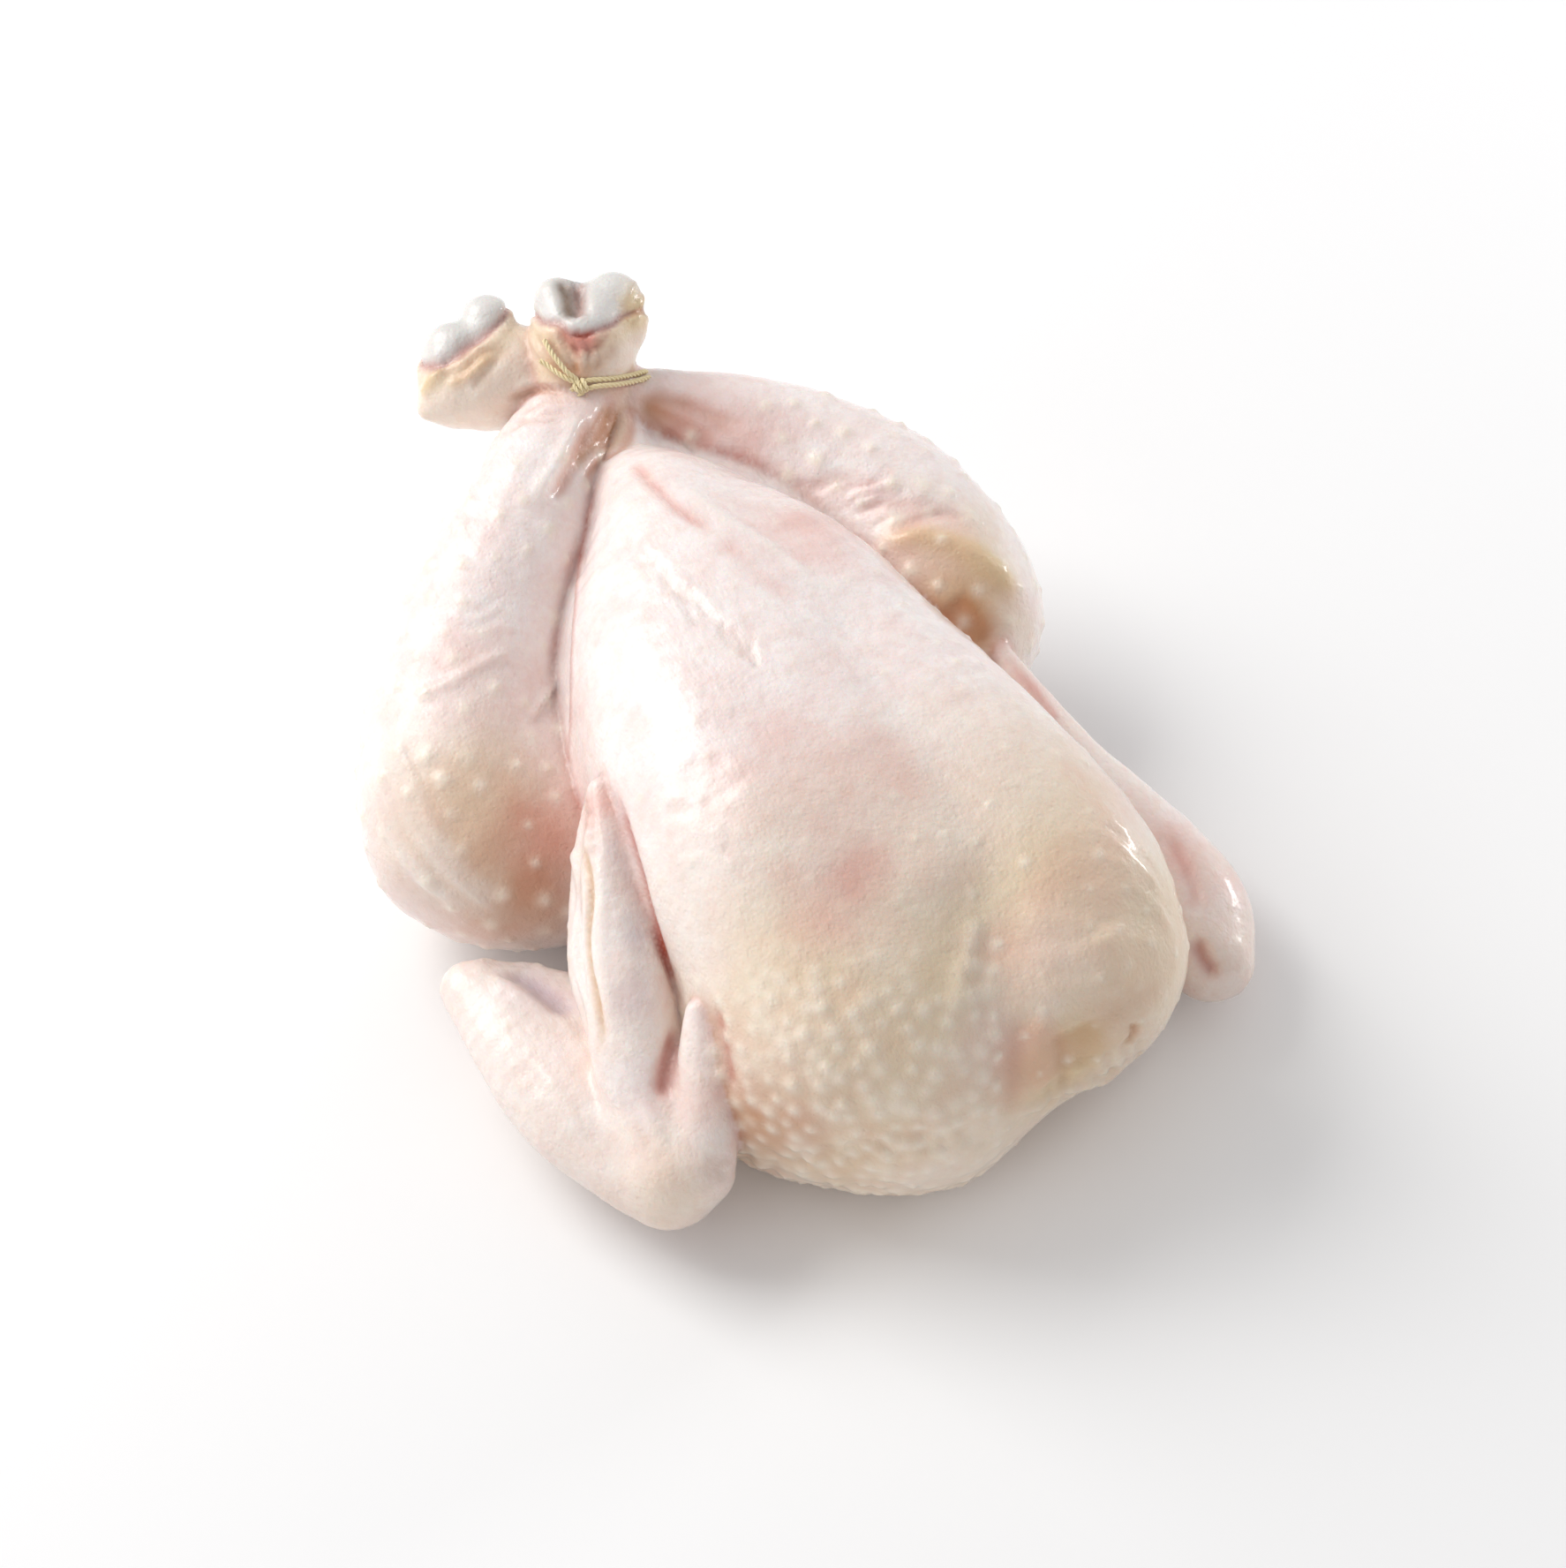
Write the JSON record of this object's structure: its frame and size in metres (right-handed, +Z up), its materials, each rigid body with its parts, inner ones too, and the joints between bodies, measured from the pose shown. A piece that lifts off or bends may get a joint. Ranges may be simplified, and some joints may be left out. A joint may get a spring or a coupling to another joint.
{
  "type": "whole raw chicken",
  "caption": "Plump whole raw chicken lying on its back, breast up, wings folded at its sides and ankles crossed and tied with thin twine.",
  "frame": {"origin": "bottom centre of the bounding box, on the surface that the bird's back rests on", "axes": "+Z up, through the breast; +Y from the neck end to the tail and the tied ankles; +X across the bird"},
  "size_m": [0.1917, 0.2524, 0.1025],
  "materials": {
    "skin": "wet raw poultry skin, pale pink and cream, glossy, with low follicle bumps",
    "twine": "thin twisted cotton twine, yellowish"
  },
  "bodies": {
    "root": {"chicken": "skin", "twine": "twine"}
  },
  "joints": []
}
